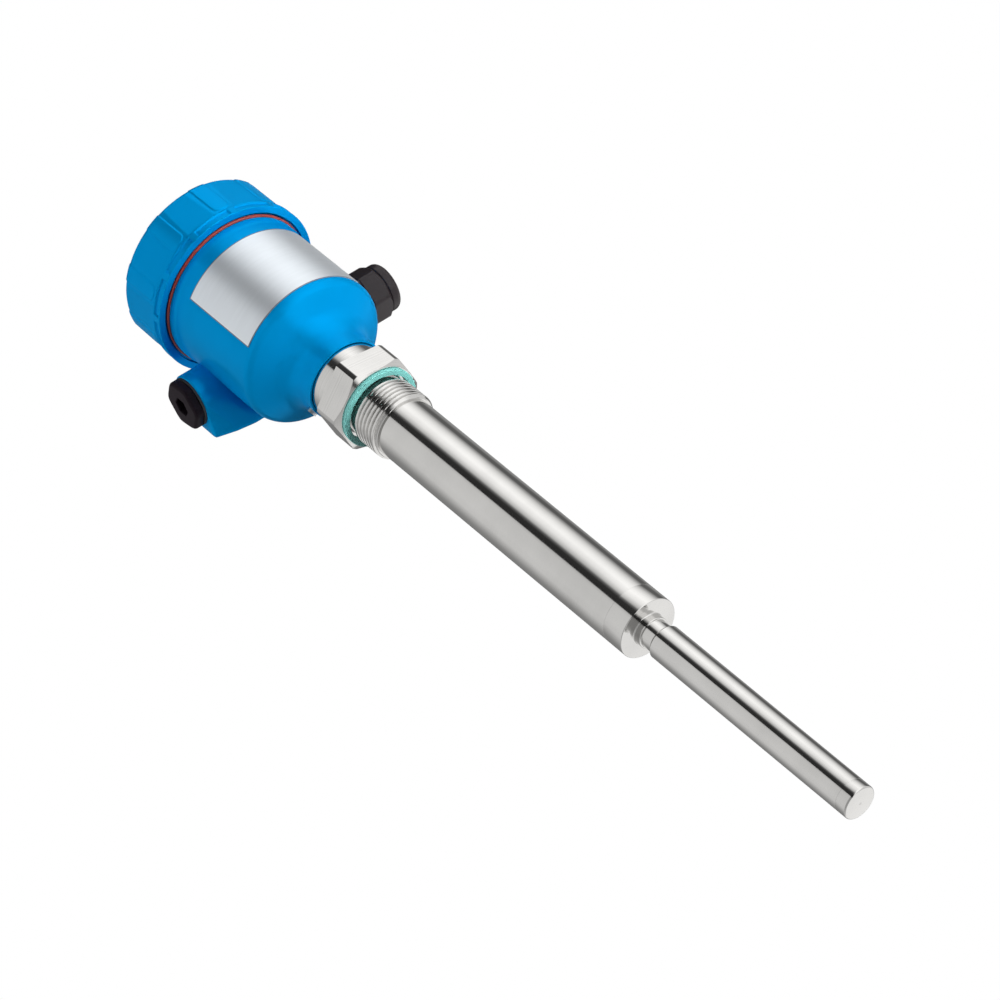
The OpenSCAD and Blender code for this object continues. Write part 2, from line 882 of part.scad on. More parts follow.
// Terminal block with wire entries in front and screw wells on top
module terminal_block() {
    wire_w = 3.4;
    color("seagreen")
        difference() {
            translate([-terminal_w / 2, terminal_y, cover_top]) cube([terminal_w, terminal_d, terminal_h]);
            for (i = [0 : terminal_count - 1]) {
                translate([terminal_x(i) - wire_w / 2, terminal_y - 1, cover_top + 2]) cube([wire_w, 7, wire_w]);
                translate([terminal_x(i), terminal_y + terminal_d / 2 + 1, 0])
                    rod(terminal_screw_r + fit_gap, cover_top + terminal_h - 3, cover_top + terminal_h + 1);
            }
        }
}

// Screws in the wells of the terminal block
module terminal_screws() {
    color("silver")
        for (i = [0 : terminal_count - 1])
            translate([terminal_x(i), terminal_y + terminal_d / 2 + 1, 0])
                difference() {
                    rod(terminal_screw_r, cover_top + terminal_h - 3, cover_top + terminal_h - 0.8);
                    translate([-terminal_screw_r - 1, -0.4, cover_top + terminal_h - 1.6])
                        cube([2 * terminal_screw_r + 2, 0.8, 2]);
                }
}

// Body of the mode switch, with the slot that the slider runs in
module mode_switch() {
    slot = [slider_size[0] + mode_travel + 2 * seat_gap, slider_size[1] + 2 * seat_gap];
    color("darkred")
        translate([mode_place[0], mode_place[1], cover_top])
            difference() {
                translate([-mode_size[0] / 2, -mode_size[1] / 2, 0]) cube(mode_size);
                translate([-slot[0] / 2, -slot[1] / 2, mode_size[2] - 2]) cube([slot[0], slot[1], 3]);
            }
}

// Slider of the mode switch, at the near end of its slot
module mode_slider() {
    color("white")
        translate([
            mode_place[0] - mode_travel / 2 - slider_size[0] / 2,
            mode_place[1] - slider_size[1] / 2,
            cover_top + mode_size[2] - 2 + fit_gap
        ])
            cube(slider_size);
}

// Body of the trimmer
module trim_base() {
    color("royalblue")
        translate([trim_place[0], trim_place[1], 0])
            difference() {
                translate([-trim_w / 2, -trim_w / 2, cover_top]) cube([trim_w, trim_w, trim_h]);
                rod(1.2 + run_gap, cover_top + 1, cover_top + trim_h + 1);
            }
}

// Slotted knob of the trimmer on its spindle
module trim_knob() {
    low = cover_top + trim_h + seat_gap;
    color("white")
        translate([trim_place[0], trim_place[1], 0])
            difference() {
                union() {
                    rod(knob_r, low, low + 2.4);
                    rod(1.2, cover_top + 1 + seat_gap, low);
                }
                translate([-knob_r - 1, -0.5, low + 1.4]) cube([2 * knob_r + 2, 1, 3]);
            }
}

// Lens of the signal lamp
module lamp_lens() {
    color("limegreen")
        translate([lamp_place[0], lamp_place[1], cover_top])
            intersection() {
                union() {
                    cylinder(r = lamp_r, h = 1.4);
                    translate([0, 0, 1.4]) sphere(lamp_r);
                }
                cylinder(r = lamp_r + 1, h = 4);
            }
}

// Square washer of the inner earth terminal
module ground_washer() {
    w = 7;
    color("goldenrod")
        rotate(ground_angle)
            translate([post_place, 0, 0])
                difference() {
                    translate([-w / 2, -w / 2, ground_top]) cube([w - 0.6, w, 1.2]);
                    rod(screw_r + fit_gap, ground_top - 1, ground_top + 3);
                }
}

// Screw of the inner earth terminal
module ground_screw() {
    color("goldenrod")
        rotate(ground_angle)
            translate([post_place, 0, 0])
                slotted_screw(screw_r, 2.5, ground_screw_len, 2, ground_top + 1.2);
}

// Clamp plate of the outer earth terminal, at the back below the bar
module earth_clamp() {
    w = 9;
    color("silver")
        along_earth()
            difference() {
                translate([-w / 2, -w / 2, earth_face]) cube([w, w, 1.6]);
                rod(earth_bolt_r + fit_gap, earth_face - 1, earth_face + 3);
            }
}

// Screw of the outer earth terminal
module earth_screw() {
    color("silver")
        along_earth()
            slotted_screw(earth_bolt_r, 4, earth_face + 1.6 - cavity_r, 2.6, earth_face + 1.6);
}

process_fitting();
process_seal();
extension_tube();
rod_base();
vibrating_rod();
rod_tip();
inner_rod();
tension_bolt();
insulator_rings();
piezo_discs();
electrodes();
pressure_washer();
tension_nut();
drive_leads();
feed_through();
sensor_plug();
swivel_seals();
retaining_ring();
housing();
housing_mouth();
type_plate();
lock_screw();
cap();
cap_seal();
gland_seal();
gland_body();
gland_insert();
gland_nut();
plug_seal();
blind_plug();
module_base();
module_cover();
module_screws();
circuit_board();
relay();
terminal_block();
terminal_screws();
mode_switch();
mode_slider();
trim_base();
trim_knob();
lamp_lens();
ground_washer();
ground_screw();
earth_clamp();
earth_screw();
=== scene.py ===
import math

import bmesh
import bpy
import numpy as np
from mathutils import Matrix, Vector


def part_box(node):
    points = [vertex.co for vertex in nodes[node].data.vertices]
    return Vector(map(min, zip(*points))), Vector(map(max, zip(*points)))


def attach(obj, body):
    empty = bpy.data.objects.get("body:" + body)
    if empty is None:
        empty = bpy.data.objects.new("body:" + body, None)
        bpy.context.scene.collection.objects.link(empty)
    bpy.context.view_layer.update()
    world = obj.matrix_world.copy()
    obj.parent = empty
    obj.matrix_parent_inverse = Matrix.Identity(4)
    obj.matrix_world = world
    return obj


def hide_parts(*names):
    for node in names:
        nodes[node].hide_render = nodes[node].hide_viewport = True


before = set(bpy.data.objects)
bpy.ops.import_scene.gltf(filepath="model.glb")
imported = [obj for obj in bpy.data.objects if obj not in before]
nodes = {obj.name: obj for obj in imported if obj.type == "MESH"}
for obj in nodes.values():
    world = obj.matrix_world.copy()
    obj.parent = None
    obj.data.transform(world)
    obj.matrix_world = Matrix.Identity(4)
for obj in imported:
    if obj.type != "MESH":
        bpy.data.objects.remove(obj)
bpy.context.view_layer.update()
mm = 0.001

# camera of the photograph: its place in metres and two axes of its picture
cameraSetup = {
    "place": (-0.6796, -1.2210, -1.1099),
    "right": (0.77796, 0.08946, -0.62192),
    "down": (-0.49036, 0.70531, -0.51194),
    "lens": 145.9,  # mm, as the sensor's width is
    "sensor": 36,
    "clipEnd": 60,
}


def placeCamera():
    data = bpy.data.cameras.new("photoCamera")
    data.lens = cameraSetup["lens"]
    data.sensor_width = cameraSetup["sensor"]
    data.clip_end = cameraSetup["clipEnd"]
    camera = bpy.data.objects.new("photoCamera", data)
    bpy.context.scene.collection.objects.link(camera)
    right = Vector(cameraSetup["right"]).normalized()
    up = -Vector(cameraSetup["down"]).normalized()
    back = right.cross(up).normalized()
    turn = Matrix((right, back.cross(right), back)).transposed().to_4x4()
    camera.matrix_world = Matrix.Translation(cameraSetup["place"]) @ turn
    bpy.context.scene.camera = camera


placeCamera()
print("camera placed")


# a socket that can be written in sums: each operator adds one Math node to its tree
class Wire:
    def __init__(self, tree, socket=None):
        self.tree = tree
        self.socket = socket

    # any node: its settings come first, then the values or wires of its sockets
    def make(self, kind, settings=None, inputs=None, output=0):
        node = self.tree.nodes.new(kind)
        for name, value in (settings or {}).items():
            setattr(node, name, value)
        for key, value in (inputs or {}).items():
            byKey = {s.identifier: s for s in node.inputs}
            socket = byKey[key] if key in byKey else node.inputs[key]
            if isinstance(value, Wire):
                self.tree.links.new(value.socket, socket)
            else:
                socket.default_value = value
        return Wire(self.tree, node.outputs[output])

    def math(self, operation, *terms):
        return self.make("ShaderNodeMath", {"operation": operation}, dict(enumerate(terms)))

    def __add__(self, other):
        return self.math("ADD", self, other)

    def __radd__(self, other):
        return self.math("ADD", other, self)

    def __sub__(self, other):
        return self.math("SUBTRACT", self, other)

    def __rsub__(self, other):
        return self.math("SUBTRACT", other, self)

    def __mul__(self, other):
        return self.math("MULTIPLY", self, other)

    def __rmul__(self, other):
        return self.math("MULTIPLY", other, self)

    def size(self):
        return self.math("ABSOLUTE", self)

    # 0 below low, 1 above high, smooth between; low may be the larger one
    def fade(self, low, high):
        settings = {"interpolation_type": "SMOOTHSTEP"}
        return self.make("ShaderNodeMapRange", settings, {"Value": self, "From Min": low, "From Max": high})

    # mixes two colours, this wire being the share of the second
    def colours(self, first, second):
        inputs = {"Factor_Float": self, "A_Color": first, "B_Color": second}
        return self.make("ShaderNodeMix", {"data_type": "RGBA"}, inputs, "Result")


# a material under construction: its shader, its coordinates and the way to finish it
class Finish:
    def __init__(self, name, **constants):
        self.material = bpy.data.materials.new(name)
        self.material.use_nodes = True
        self.tree = self.material.node_tree
        self.shader = self.tree.nodes["Principled BSDF"]
        self.wire = Wire(self.tree)
        for key, value in constants.items():
            self.shader.inputs[key.replace("_", " ")].default_value = value
        self.place = self.wire.make("ShaderNodeTexCoord", output="Object")

    def axes(self):
        split = self.tree.nodes.new("ShaderNodeSeparateXYZ")
        self.tree.links.new(self.place.socket, split.inputs[0])
        return [Wire(self.tree, out) for out in split.outputs]

    def noise(self, scale, detail=3.0, stretch=(1, 1, 1)):
        turned = self.wire.make("ShaderNodeMapping", None, {"Vector": self.place, "Scale": stretch})
        inputs = {"Vector": turned, "Scale": scale, "Detail": detail}
        return self.wire.make("ShaderNodeTexNoise", None, inputs)

    def feed(self, key, value):
        self.tree.links.new(value.socket, self.shader.inputs[key])

    def bump(self, height, strength, depth):
        inputs = {"Height": height, "Strength": strength, "Distance": depth}
        self.feed("Normal", self.wire.make("ShaderNodeBump", None, inputs))


def grey(level):
    return (level, level, level, 1.0)


# a colour as a socket wants it, made lighter or darker by a share
def colour(rgb, share=1.0):
    return (*(min(1.0, share * c) for c in rgb), 1.0)


# turned stainless steel: fine rings around the axis, faint cloudy tarnish
turnedSteel = {
    "base": (0.66, 0.655, 0.645), "worn": 0.86, "roughness": 0.085, "ringUneven": 0.06, "cloudUneven": 0.04,
    "ringsPerMetre": 900, "ringStrength": 0.35, "ringDepth": 6e-6, "cloudsPerMetre": 55,
}


def turnedSteelFinish(name, setup):
    finish = Finish(name, Metallic=1.0, IOR=2.5)
    z = finish.axes()[2]
    rings = finish.wire.make("ShaderNodeTexNoise", {"noise_dimensions": "1D"},
                             {"W": z * setup["ringsPerMetre"], "Detail": 4.0, "Roughness": 0.7})
    clouds = finish.noise(setup["cloudsPerMetre"], 4.0)
    tarnish = (0.5 * clouds + 0.5 * rings).fade(0.35, 0.75)
    finish.feed("Base Color", tarnish.colours(colour(setup["base"]), colour(setup["base"], setup["worn"])))
    uneven = setup["ringUneven"] * (rings - 0.5) + setup["cloudUneven"] * (clouds - 0.5)
    finish.feed("Roughness", setup["roughness"] + uneven)
    finish.bump(rings, setup["ringStrength"], setup["ringDepth"])
    return finish.material


# blue powder coat: slight orange peel, a touch paler where the film is thin, cyan highlights
blueCoat = {
    "base": (0.0, 0.318, 0.745), "pale": (0.0, 0.333, 0.775), "sheen": (0.25, 0.85, 1.0), "metal": 0.26,
    "gloss": 0.01, "roughness": 0.21, "peelUneven": 0.08, "peelPerMetre": 420, "peelStrength": 0.12,
    "peelDepth": 2e-5, "cloudsPerMetre": 38,
}


def blueCoatFinish(setup):
    finish = Finish("blueCoat", IOR=1.5, Metallic=setup["metal"], Specular_IOR_Level=setup["gloss"],
                    Specular_Tint=colour(setup["sheen"]))
    peel = finish.noise(setup["peelPerMetre"], 2.0)
    thin = finish.noise(setup["cloudsPerMetre"]).fade(0.35, 0.7)
    finish.feed("Base Color", thin.colours(colour(setup["base"]), colour(setup["pale"])))
    finish.feed("Roughness", setup["roughness"] + setup["peelUneven"] * (peel - 0.5))
    finish.bump(peel, setup["peelStrength"], setup["peelDepth"])
    return finish.material


# brushed foil of the type plate, with painted shadow: a thin dark line along its edge
plateFoil = {
    "base": (0.775, 0.825, 0.875), "dull": 0.97, "metal": 0.7, "roughness": 0.36, "grainUneven": 0.05,
    "grainPerMetre": 300, "grainStretch": (0.2, 0.2, 2.0), "grainStrength": 0.08, "grainDepth": 3e-6,
    # the dark line along the edge is painted shadow: its width, grey level and roughness
    "edgeShadowWidth": 0.0004, "edgeShadowShade": 0.16, "edgeShadowUneven": 0.2,
}


def plateFoilFinish(setup):
    finish = Finish("plateFoil", Metallic=setup["metal"])
    x, y, z = finish.axes()
    low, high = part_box("type_plate")
    radius = -low.y  # the plate is centred on -Y, so its lowest y is its radius
    halfArc = radius * math.asin(high.x / radius)
    halfHeight = (high.z - low.z) / 2
    arc = radius * x.math("ARCTAN2", x, 0 - y)
    toSide = halfArc - arc.size()
    toEnd = halfHeight - (z - (high.z + low.z) / 2).size()
    toEdge = toSide.math("MINIMUM", toSide, toEnd)
    width = setup["edgeShadowWidth"]
    # painted shadow: a thin dark line along the plate's edge, mixed into the foil's colour
    edgeShadow = 1 - (toEdge - width / 2).size().fade(width * 0.35, width * 0.65)
    grain = finish.noise(setup["grainPerMetre"], 4.0, setup["grainStretch"])
    foil = grain.fade(0.3, 0.7).colours(colour(setup["base"]), colour(setup["base"], setup["dull"]))
    finish.feed("Base Color", edgeShadow.colours(foil, grey(setup["edgeShadowShade"])))
    uneven = setup["grainUneven"] * (grain - 0.5) + setup["edgeShadowUneven"] * edgeShadow
    finish.feed("Roughness", setup["roughness"] + uneven)
    finish.bump(grain, setup["grainStrength"], setup["grainDepth"])
    return finish.material


# what moulded plastic, rubber and ceramic pieces share: fine grain and a little unevenness
moulding = {"grainUneven": 0.14, "cloudUneven": 0.08, "grainsPerCloud": 14, "grainStrength": 0.3}


def mouldedFinish(name, base, roughness, grainPerMetre, grainDepth, lift, **constants):
    finish = Finish(name, **constants)
    grain = finish.noise(grainPerMetre)
    clouds = finish.noise(grainPerMetre / moulding["grainsPerCloud"])
    mottle = (0.6 * clouds + 0.4 * grain).fade(0.35, 0.7)
    finish.feed("Base Color", mottle.colours(colour(base), colour(base, lift)))
    uneven = moulding["grainUneven"] * (grain - 0.5) + moulding["cloudUneven"] * (clouds - 0.5)
    finish.feed("Roughness", roughness + uneven)
    finish.bump(grain, moulding["grainStrength"], grainDepth)
    return finish.material


# rounds the corners of a profile: each corner (r, z, radius) becomes an arc that touches both sides
def roundProfile(corners, closed, steps=5):
    points = np.array([c[:2] for c in corners], float)
    radii = [c[2] if len(c) > 2 else 0.0 for c in corners]
    count = len(points)
    pieces = []
    for i in range(count):
        here = points[i]
        if radii[i] == 0 or (not closed and i in (0, count - 1)):
            pieces.append(here[None])
            continue
        before = here - points[i - 1]
        after = points[(i + 1) % count] - here
        before /= np.linalg.norm(before)
        after /= np.linalg.norm(after)
        side = before[0] * after[1] - before[1] * after[0]
        turn = math.atan2(side, before @ after)
        reach = radii[i] * math.tan(abs(turn) / 2)
        start = here - before * reach
        centre = start + radii[i] * math.copysign(1, side) * np.array([-before[1], before[0]])
        angle = np.linspace(0, turn, steps + 1)[:, None]
        arm = start - centre
        swung = np.hstack([arm[0] * np.cos(angle) - arm[1] * np.sin(angle),
                           arm[0] * np.sin(angle) + arm[1] * np.cos(angle)])
        pieces.append(centre + swung)
    return np.vstack(pieces)


# a mesh from a grid of points: neighbours make quads, and the sign of the volume turns them outwards
def gridMesh(name, points, closeRows=True, closeColumns=True, weld=False, sharpAngle=32):
    rows, columns = points.shape[:2]
    index = np.arange(rows * columns).reshape(rows, columns)
    index = np.vstack([index, index[:1]]) if closeRows else index
    index = np.hstack([index, index[:, :1]]) if closeColumns else index
    quads = np.stack([index[:-1, :-1], index[:-1, 1:], index[1:, 1:], index[1:, :-1]], -1).reshape(-1, 4)
    flat = points.reshape(-1, 3)
    a, b, c, d = (flat[quads[:, k]] for k in range(4))
    volume = np.einsum("ij,ij->", a, np.cross(b, c) + np.cross(c, d))
    if volume < 0:
        quads = quads[:, ::-1]
    mesh = bpy.data.meshes.new(name)
    mesh.from_pydata(flat.tolist(), [], quads.tolist())
    if weld:  # poles of the grid become one point
        work = bmesh.new()
        work.from_mesh(mesh)
        same = 1e-7  # points closer than this are one point
        bmesh.ops.remove_doubles(work, verts=work.verts, dist=same)
        bmesh.ops.dissolve_degenerate(work, edges=work.edges, dist=same)
        work.to_mesh(mesh)
        work.free()
    mesh.shade_smooth()
    mesh.set_sharp_from_angle(angle=math.radians(sharpAngle))
    return mesh


# a turned surface: each station has a height and a radius, or one radius for each angle around the axis
def turnedPoints(heights, radii, angles):
    radii = np.broadcast_to(radii if radii.ndim == 2 else radii[:, None], (len(heights), len(angles)))
    heights = np.broadcast_to(heights[:, None], radii.shape)
    return np.stack([radii * np.cos(angles), radii * np.sin(angles), heights], -1) * mm


def circleAngles(count):
    return np.arange(count) * 2 * np.pi / count


# local axes of the cable entries: what is built along +Z lies along +X or -X on the entries' axis
def alongEntry(points, side, axis):
    x, y, z = points[..., 0], points[..., 1], points[..., 2]
    return np.stack([side * z, axis.y + y, axis.z - side * x], -1)


# shows a mesh on a body, in place of one solid
def addPiece(name, mesh, material, body, node):
    piece = bpy.data.objects.new(name, mesh)
    bpy.context.scene.collection.objects.link(piece)
    mesh.materials.append(material)
    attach(piece, body)
    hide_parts(node)


steelFinish = turnedSteelFinish("turnedSteel", turnedSteel)
milledSteel = {**turnedSteel, "roughness": 0.11, "ringsPerMetre": 260, "ringDepth": 5e-6}
fittingFinish = turnedSteelFinish("milledSteel", milledSteel)
coatFinish = blueCoatFinish(blueCoat)
print("main finishes made")

# process fitting: helical thread, relief, hexagon with turned corners, collar and spigot, in mm
fittingShape = {
    "threadRadius": 16.625, "threadDepth": 1.2, "pitch": 2.309, "rootShare": 0.08, "flankShare": 0.46,
    "threadEnd": -17.4, "threadStart": -2.6, "endChamfer": 1.4, "reliefRadius": 15.2, "sealTop": 2.0,
    "faceRadius": 20.2, "faceEdge": 0.15, "hexLow": 2.2, "hexTop": 16.2, "acrossFlats": 41.0,
    "cornerRadius": 22.95, "hexTurn": 8.4, "chamferAngle": 30, "chamferHeight": 2.0, "flatStart": 2.2,
    "collarRadius": 18.9, "collarTop": 26.2, "spigotRadius": 16.5, "spigotTop": 49.2, "bore": 11.0,
    "edge": 0.3, "around": 480, "threadRows": 144, "chamferRows": 18, "flatRows": 12,
}


# radius of a hexagon at each angle: half its width over the cosine of the angle from the nearest flat
def hexRadius(angles, acrossFlats, turn):
    fromFlat = np.mod(angles - math.radians(turn), math.pi / 3) - math.pi / 6
    return acrossFlats / 2 / np.cos(fromFlat)


# height of the thread's ridges: a triangle wave along z - pitch * angle / turn, flattened at crest and root
def threadRidges(heights, angles, s):
    phase = np.mod(heights[:, None] / s["pitch"] - angles[None] / (2 * np.pi), 1.0)
    wave = np.clip((np.abs(2 * phase - 1) - s["rootShare"]) / s["flankShare"], 0, 1)
    return 0.5 * wave + 0.5 * wave * wave * (3 - 2 * wave)


def fittingMesh(s):
    angles = circleAngles(s["around"])
    # thread, from its end up to the relief
    heights = np.linspace(s["threadEnd"], s["threadStart"], s["threadRows"])
    cone = s["threadRadius"] - s["endChamfer"] + (heights - s["threadEnd"])[:, None]
    cut = s["threadDepth"] * (1 - threadRidges(heights, angles, s))
    thread = np.maximum(np.minimum(s["threadRadius"], cone) - cut, s["threadRadius"] - s["threadDepth"])
    thread[0] = s["threadRadius"] - s["endChamfer"]
    # relief, face, collar and spigot are plain turned profiles
    lower = roundProfile([(s["reliefRadius"], s["threadStart"]), (s["reliefRadius"], s["sealTop"]),
                          (s["faceRadius"], s["sealTop"], s["faceEdge"]),
                          (s["faceRadius"], s["hexLow"])], False)
    upper = roundProfile([(s["collarRadius"], s["hexTop"]), (s["collarRadius"], s["collarTop"], s["edge"]),
                          (s["spigotRadius"], s["collarTop"]),
                          (s["spigotRadius"], s["spigotTop"], s["edge"]),
                          (s["bore"], s["spigotTop"]), (s["bore"], s["threadEnd"])], False)
    # hexagon: the smaller of the hexagon's and the turning tool's radius
    rise = np.concatenate([np.linspace(0, s["chamferHeight"], s["chamferRows"]),
                           np.linspace(s["flatStart"], s["hexTop"] - s["hexLow"], s["flatRows"])])
    tool = np.minimum(s["faceRadius"] + rise / math.tan(math.radians(s["chamferAngle"])), s["cornerRadius"])
    hexagon = np.minimum(hexRadius(angles, s["acrossFlats"], s["hexTurn"])[None], tool[:, None])
    spread = np.ones(len(angles))
    radii = np.vstack([thread, lower[:, :1] * spread, hexagon, upper[:, :1] * spread])
    heights = np.concatenate([heights, lower[:, 1], s["hexLow"] + rise, upper[:, 1]])
    return gridMesh("fittingTurned", turnedPoints(heights, radii, angles), sharpAngle=24)


fitting = fittingMesh(fittingShape)
addPiece("fitting_turned", fitting, fittingFinish, "probe", "process_fitting")
print("process fitting turned")

# seal ring, tube, rod base, rod and tip are turned from plain profiles, with broken edges
sealShape = {"inner": 16.85, "outer": 19.6, "edge": 0.35, "innerEdge": 0.1, "around": 160}
probeShape = {
    "tubeRadius": 14.6, "tubeInner": 12.6, "tubeTop": -17.4, "weld": -171.1, "tubeEnd": -182.5,
    "baseInner": 12.0, "membrane": 2.8, "rootRadius": 7.6, "rootLength": 3.7, "neckRadius": 6.8,
    "rodTop": -193.1, "rodRadius": 8.0, "rodInner": 6.5, "tipJoint": -306.5, "tip": -312.5,
    "edge": 0.45, "seam": 0.06, "tipEdge": 1.0, "rootFillet": 0.6, "innerFillet": 0.5, "stepEdge": 0.3,
    "flareEdge": 0.5, "plugLength": 4.0, "plugGap": 0.1, "centreDepth": 0.45, "centreRadius": 0.7,
    "centreEdge": 0.1, "tubeAround": 160, "rodAround": 96,
}


def turnedPiece(name, corners, closed, count):
    profile = roundProfile(corners, closed)
    points = turnedPoints(profile[:, 1], profile[:, 0], circleAngles(count))
    return gridMesh(name, points, closeRows=closed, weld=not closed)


def probePieces(s):
    seam, plugRadius = s["seam"], s["rodInner"] - s["plugGap"]
    membraneTop, rootEnd = s["tubeEnd"] + s["membrane"], s["tubeEnd"] - s["rootLength"]
    flare = s["rodRadius"] - s["neckRadius"]
    tube = [(s["tubeRadius"], s["weld"], seam), (s["tubeRadius"], s["tubeTop"], seam),
            (s["tubeInner"], s["tubeTop"]), (s["tubeInner"], s["weld"])]
    base = [(0, membraneTop), (s["baseInner"], membraneTop, s["innerFillet"]), (s["baseInner"], s["weld"]),
            (s["tubeRadius"], s["weld"], seam), (s["tubeRadius"], s["tubeEnd"], s["edge"]),
            (s["rootRadius"], s["tubeEnd"], s["rootFillet"]), (s["rootRadius"], rootEnd, s["stepEdge"]),
            (s["neckRadius"], rootEnd, s["stepEdge"]),
            (s["neckRadius"], s["rodTop"] + flare, s["flareEdge"]),
            (s["rodRadius"], s["rodTop"], seam), (s["rodInner"], s["rodTop"]),
            (plugRadius, s["rodTop"] - s["plugLength"]), (0, s["rodTop"] - s["plugLength"])]
    rod = [(s["rodRadius"], s["tipJoint"], seam), (s["rodRadius"], s["rodTop"], seam),
           (s["rodInner"], s["rodTop"]), (s["rodInner"], s["tipJoint"])]
    tip = [(0, s["tip"] + s["centreDepth"]), (s["centreRadius"], s["tip"], s["centreEdge"]),
           (s["rodRadius"], s["tip"], s["tipEdge"]), (s["rodRadius"], s["tipJoint"], seam),
           (plugRadius, s["tipJoint"]), (plugRadius, s["tipJoint"] + s["plugLength"]),
           (0, s["tipJoint"] + s["plugLength"])]
    wide, slim = s["tubeAround"], s["rodAround"]
    turned = [("tube_turned", "tubeTurned", tube, True, wide, "extension_tube"),
              ("base_turned", "baseTurned", base, False, wide, "rod_base"),
              ("rod_turned", "rodTurned", rod, True, slim, "vibrating_rod"),
              ("tip_turned", "tipTurned", tip, False, slim, "rod_tip")]
    for name, meshName, corners, closed, count, node in turned:
        mesh = turnedPiece(meshName, corners, closed, count)
        addPiece(name, mesh, steelFinish, "probe", node)


probePieces(probeShape)
sealFinish = mouldedFinish("tealFibre", (0.25, 0.70, 0.66), 0.55, 1500, 3e-5, 1.08,
                           Specular_IOR_Level=0.2)
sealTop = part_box("process_seal")[1].z / mm
sealRing = [(sealShape["outer"], 0, sealShape["edge"]), (sealShape["outer"], sealTop, sealShape["edge"]),
            (sealShape["inner"], sealTop), (sealShape["inner"], 0, sealShape["innerEdge"])]
sealMesh = turnedPiece("sealRing", sealRing, True, sealShape["around"])
addPiece("seal_ring", sealMesh, sealFinish, "probe", "process_seal")
print("probe turned")

# screw cap: a turned shell with grip flats between raised lands, and a slotted rim; mm and degrees
capShape = {
    "radius": 42.8, "draft": 0.3, "low": 109.0, "top": 138.0, "edge": 2.6, "rimEdge": 0.5, "bore": 36.9,
    "ceiling": 134.6, "recess": 39.45, "recessTop": 110.9, "flats": 10, "flatFirst": -66.3,
    "flatDepth": 1.0, "flatLow": 114.2, "landDepth": 0.4, "landCorner": 3.2, "landLow": 115.4,
    "ribs": 12, "ribFirst": -111.0, "ribAngle": 5.0, "ribDepth": 0.9, "slotLow": 109.9, "slotTop": 113.3,
    "blend": 0.3, "flatBlend": 0.12, "ribBlend": 0.45, "slotBlend": 0.25, "slotTopBlend": 0.35,
    "ceilingEdge": 1.2, "boreEdge": 0.3, "recessEdge": 0.2, "around": 780, "lowRows": 44, "highRows": 24,
    "lowReach": 4.0, "rowGap": 0.6, "edgeRows": 9, "lidRows": 14,
}


def smoothStep(value, low, high):
    t = np.clip((value - low) / (high - low), 0, 1)
    return t * t * (3 - 2 * t)


# the smaller of two radii, with the corner between them rounded over a width
def softMin(first, second, width):
    gap = np.clip(0.5 + 0.5 * (second - first) / width, 0, 1)
    return second + (first - second) * gap - width * gap * (1 - gap)


# angle from the nearest of count places around the circle, the first at a given angle
def angleFrom(angles, first, count):
    step = 2 * np.pi / count
    return np.mod(angles - math.radians(first) + step / 2, step) - step / 2


# radius of the cap at each height and angle: the turned radius, cut by the flats, the land ends, the slots
def capRadii(s, angles, heights, turned):
    angles, heights, turned, soft = angles[None], heights[:, None], turned[:, None], s["blend"]
    flatRadius = s["radius"] - s["draft"] / 2 - s["flatDepth"]
    fromFlat = angleFrom(angles, s["flatFirst"], s["flats"])
    planes = softMin(flatRadius / np.cos(fromFlat), turned + 0 * fromFlat, s["flatBlend"])
    # land between two flats: distance to a rectangle with rounded lower corners that is open at the top
    corner = s["landCorner"]
    landHalf = math.pi / s["flats"] - math.acos(flatRadius / (flatRadius + s["flatDepth"]))
    fromLand = angleFrom(angles, s["flatFirst"] + 180 / s["flats"], s["flats"])
    side = s["radius"] * (np.abs(fromLand) - landHalf)
    below = s["landLow"] - heights
    dx, dz = np.maximum(side + corner, 0), np.maximum(below + corner, 0)
    edge = np.hypot(dx, dz) - corner + np.minimum(np.maximum(side + corner, below + corner), 0)
    around = turned - s["landDepth"] * smoothStep(edge, -soft, soft)
    shaped = np.minimum(planes, around)
    radii = turned + (shaped - turned) * smoothStep(heights, s["flatLow"] - soft, s["flatLow"] + soft)
    # slots of the rim, between the ribs
    rib = np.abs(s["radius"] * angleFrom(angles, s["ribFirst"], s["ribs"]))
    ribHalf = s["radius"] * math.radians(s["ribAngle"]) / 2
    between = smoothStep(rib, ribHalf - s["ribBlend"], ribHalf + s["ribBlend"])
    slot = s["slotBlend"]
    band = smoothStep(heights, s["slotLow"] - slot, s["slotLow"] + slot)
    band = band * (1 - smoothStep(heights, s["slotTop"] - s["slotTopBlend"], s["slotTop"] + slot))
    return radii - s["ribDepth"] * between * band


